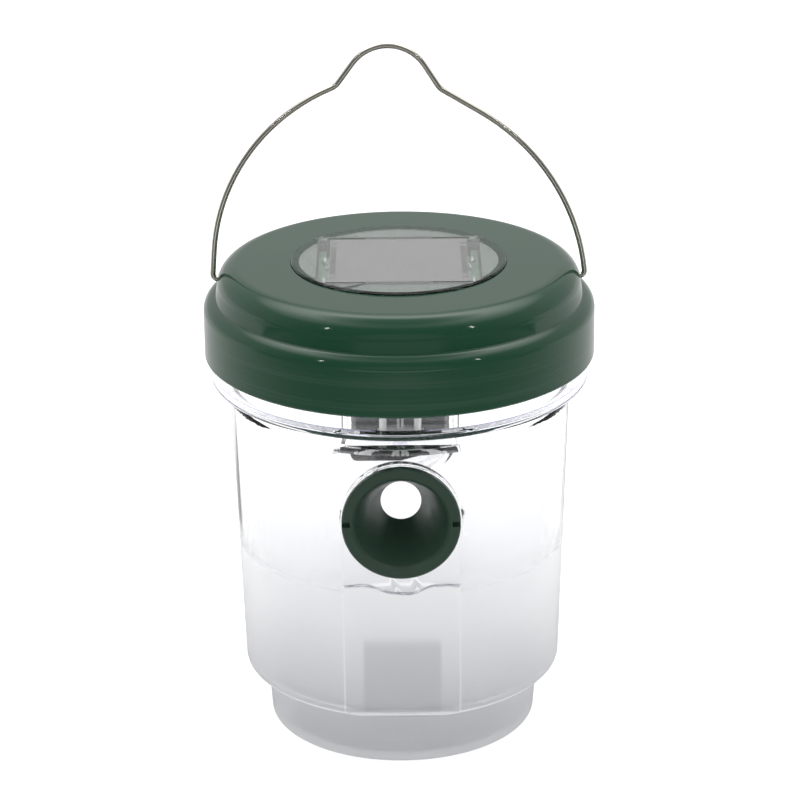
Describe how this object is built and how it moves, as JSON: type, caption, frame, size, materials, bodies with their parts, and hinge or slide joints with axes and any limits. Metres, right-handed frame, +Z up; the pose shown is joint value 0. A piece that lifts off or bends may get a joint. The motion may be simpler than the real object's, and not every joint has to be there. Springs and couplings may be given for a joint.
{
  "type": "wasp trap",
  "caption": "Hanging wasp trap: clear jar with a tapering side entrance funnel, round lid with solar cell and lure lamp below it, and a wire bail handle.",
  "frame": {"origin": "centre of the jar's foot, on the surface it stands on", "axes": "+Z up along the jar's axis, the entrance funnel faces -Y, +X to the right of someone facing the funnel"},
  "size_m": [0.1248, 0.1248, 0.2268],
  "materials": {
    "clear_jar": "clear above, finely frosted in its lower half",
    "green_funnel": "satin moulded",
    "green_lid": "glossy moulded",
    "steel_wire": "drawn wire",
    "clear_window": "clear polished",
    "cell_face": "satin grey",
    "cell_bar": "dark contact strip",
    "foam": "matte foam",
    "housing_plastic": "matte moulded",
    "screw_steel": "zinc plated",
    "board_laminate": "solder mask",
    "component_black": "matte",
    "battery_sleeve": "plain shrink sleeve",
    "contact_metal": "nickel plated",
    "switch_can": "pressed can",
    "knob_black": "matte",
    "holder_grey": "dark grey moulded",
    "post_white": "white moulded",
    "board_white": "white solder mask",
    "led_lens": "water clear lens",
    "clear_cover": "clear moulded",
    "lead_red": "insulation",
    "lead_black": "insulation",
    "lead_white": "insulation"
  },
  "bodies": {
    "jar": {"jar": "clear_jar"},
    "funnel": {"entrance_funnel": "green_funnel"},
    "lid": {"lid": "green_lid", "solar_window": "clear_window", "solar_cell": "cell_face", "cell_bars": "cell_bar", "cell_pad": "foam", "module_housing": "housing_plastic", "housing_screws": "screw_steel", "circuit_board": "board_laminate", "board_components": "component_black", "board_screws": "screw_steel", "battery": "battery_sleeve", "battery_spring": "contact_metal", "battery_plate": "contact_metal", "switch_body": "switch_can", "lamp_holder": "holder_grey", "lamp_posts": "post_white", "led_board": "board_white", "uv_led": "led_lens", "lamp_cover": "clear_cover", "cell_leads": "lead_red", "battery_leads": "lead_black", "lamp_leads": "lead_white"},
    "handle": {"handle": "steel_wire"},
    "switch_knob": {"switch_knob": "knob_black"},
    "battery_door": {"battery_door": "housing_plastic"}
  },
  "joints": [
    {"name": "lid_lift", "type": "slide", "parent": "jar", "child": "lid", "axis": [0, 0, 1], "range_m": [0, 0.06]},
    {"name": "funnel_twist", "type": "hinge", "parent": "jar", "child": "funnel", "pos_m": [0, -0.05, 0.0878], "axis": [0, 1, 0], "range_deg": [0, 60]},
    {"name": "handle_swing", "type": "hinge", "parent": "lid", "child": "handle", "pos_m": [0, 0, 0.1504], "axis": [1, 0, 0], "range_deg": [-80, 80]},
    {"name": "switch_slide", "type": "slide", "parent": "lid", "child": "switch_knob", "axis": [1, 0, 0], "range_m": [0, 0.002]},
    {"name": "battery_door_pull", "type": "slide", "parent": "lid", "child": "battery_door", "axis": [0, 0, -1], "range_m": [0, 0.03]}
  ]
}
